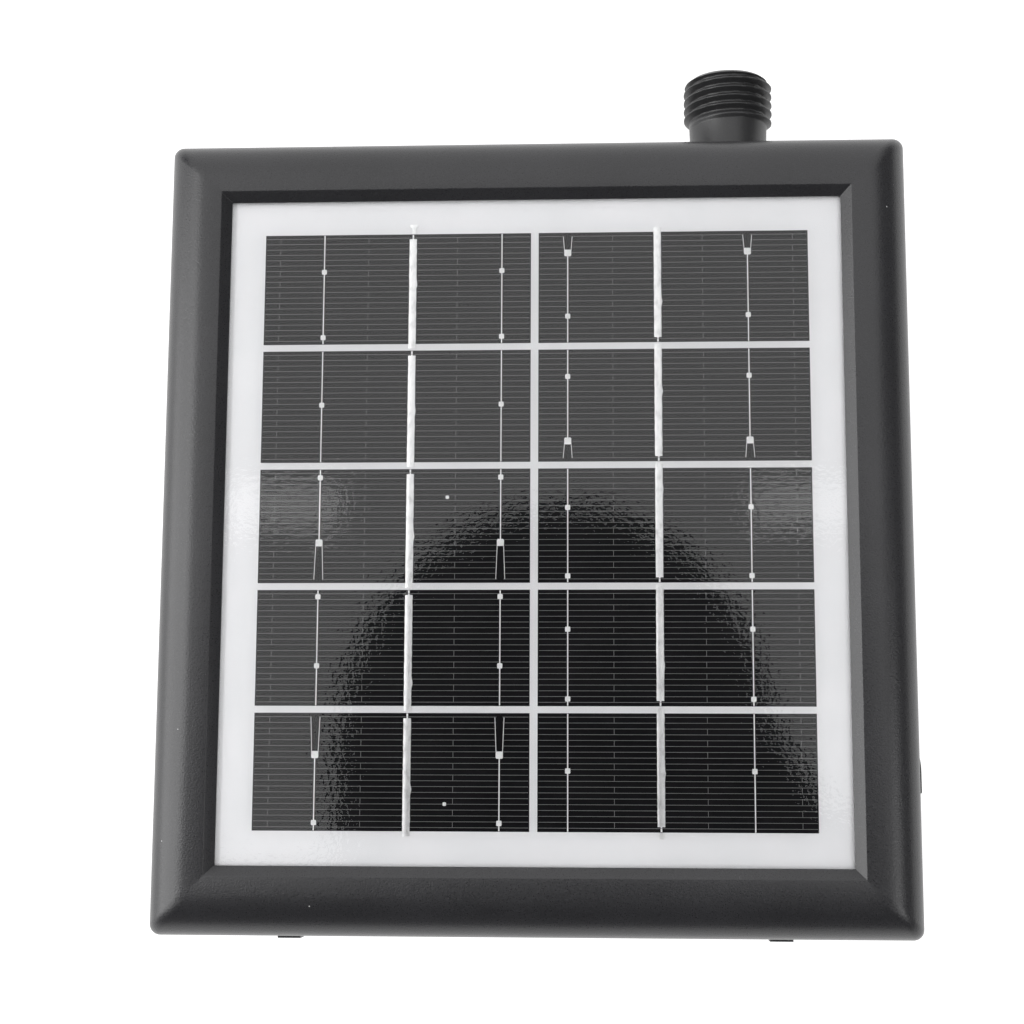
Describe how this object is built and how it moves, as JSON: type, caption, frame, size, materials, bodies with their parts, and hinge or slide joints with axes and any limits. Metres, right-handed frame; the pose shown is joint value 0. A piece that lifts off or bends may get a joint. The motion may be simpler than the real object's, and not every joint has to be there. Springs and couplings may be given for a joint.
{
  "type": "solar fountain pump",
  "caption": "Flat framed solar panel on a sealed housing with battery, control board and pump, a threaded outlet on one edge and a strainer cap underneath.",
  "frame": {"origin": "on the ground under the middle of the whole object's box; the panel's own middle is 9.15 mm towards -Y", "axes": "+Z out of the panel's face, +Y along the threaded outlet towards its mouth, +X to the right when looking at the face with the outlet up"},
  "size_m": [0.1614, 0.19, 0.038],
  "materials": {
    "frame_plastic": "pebbled black ABS",
    "seal_foam": "black foam tape",
    "clear_film": "glossy clear PET with fine orange peel",
    "silicon": "dark blue-black silicon with printed grid",
    "tinned_copper": "tinned copper ribbon",
    "white_board": "white laminate board",
    "grey_silicone": "grey silicone",
    "housing_plastic": "fine spark-eroded black ABS",
    "stainless": "stainless screws",
    "foot_rubber": "soft black rubber",
    "spout_plastic": "satin black moulding",
    "black_nbr": "black nitrile rubber",
    "pump_plastic": "dark grey glass-filled moulding",
    "red_seal": "red silicone",
    "impeller_plastic": "off-white acetal",
    "ferrite": "dark sintered ferrite",
    "white_ceramic": "polished white ceramic",
    "lamination": "stacked laminations",
    "enamelled_wire": "enamelled copper windings",
    "cap_plastic": "satin black ABS",
    "filter_foam": "open-cell dark foam",
    "cell_sleeve": "blue shrink sleeve",
    "holder_plastic": "black nylon",
    "nickel_strip": "nickel strip",
    "circuit_board": "green solder mask",
    "black_epoxy": "moulded black epoxy",
    "capacitor_sleeve": "dark blue sleeve",
    "connector_nylon": "natural nylon",
    "button_plastic": "red ABS key",
    "clear_lens": "clear acrylic",
    "led_epoxy": "milky epoxy",
    "lead_red": "red PVC insulation",
    "lead_black": "black PVC insulation"
  },
  "bodies": {
    "housing": {"front_frame": "frame_plastic", "panel_seal": "seal_foam", "cover_film": "clear_film", "solar_cells": "silicon", "tabbing_ribbons": "tinned_copper", "backing_board": "white_board", "panel_sealant": "grey_silicone", "housing_seal": "grey_silicone", "rear_housing": "housing_plastic", "housing_screws": "stainless", "pump_screws": "stainless", "board_screws": "stainless", "feet": "foot_rubber", "outlet_spout": "spout_plastic", "outlet_nut": "spout_plastic", "outlet_seal": "black_nbr", "flap_strap": "black_nbr", "pump_casing": "pump_plastic", "pump_cover": "pump_plastic", "pump_cover_seal": "red_seal", "pump_shaft": "white_ceramic", "thrust_washers": "white_ceramic", "stator_core": "lamination", "stator_coils": "enamelled_wire", "battery_cells": "cell_sleeve", "battery_holder": "holder_plastic", "battery_straps": "nickel_strip", "control_board": "circuit_board", "board_chips": "black_epoxy", "charge_jack": "black_epoxy", "tact_switch": "black_epoxy", "board_inductor": "black_epoxy", "board_capacitors": "capacitor_sleeve", "board_connectors": "connector_nylon", "led_lens": "clear_lens", "status_led": "led_epoxy", "panel_leads": "lead_red", "battery_leads": "lead_red", "motor_leads": "lead_black"},
    "rotor": {"impeller": "impeller_plastic", "rotor_magnet": "ferrite", "rotor_bushes": "impeller_plastic"},
    "strainer": {"filter_cap": "cap_plastic", "filter_sponge": "filter_foam"},
    "power_button": {"power_button": "button_plastic"},
    "port_flap": {"port_flap": "black_nbr"}
  },
  "joints": [
    {"name": "rotor_spin", "type": "hinge", "parent": "housing", "child": "rotor", "pos_m": [0.0315, 0.03885, 0.02], "axis": [0, 0, 1], "continuous": true},
    {"name": "strainer_twist", "type": "hinge", "parent": "housing", "child": "strainer", "pos_m": [0.0315, 0.03885, 0.005], "axis": [0, 0, 1], "range_deg": [0, 36]},
    {"name": "button_press", "type": "slide", "parent": "housing", "child": "power_button", "axis": [0, 0, 1], "range_m": [0, 0.001], "stiffness_N_per_m": 400},
    {"name": "flap_swing", "type": "hinge", "parent": "housing", "child": "port_flap", "pos_m": [0.0814, -0.06485, 0.0188], "axis": [0, 0, -1], "range_deg": [0, 110]}
  ]
}
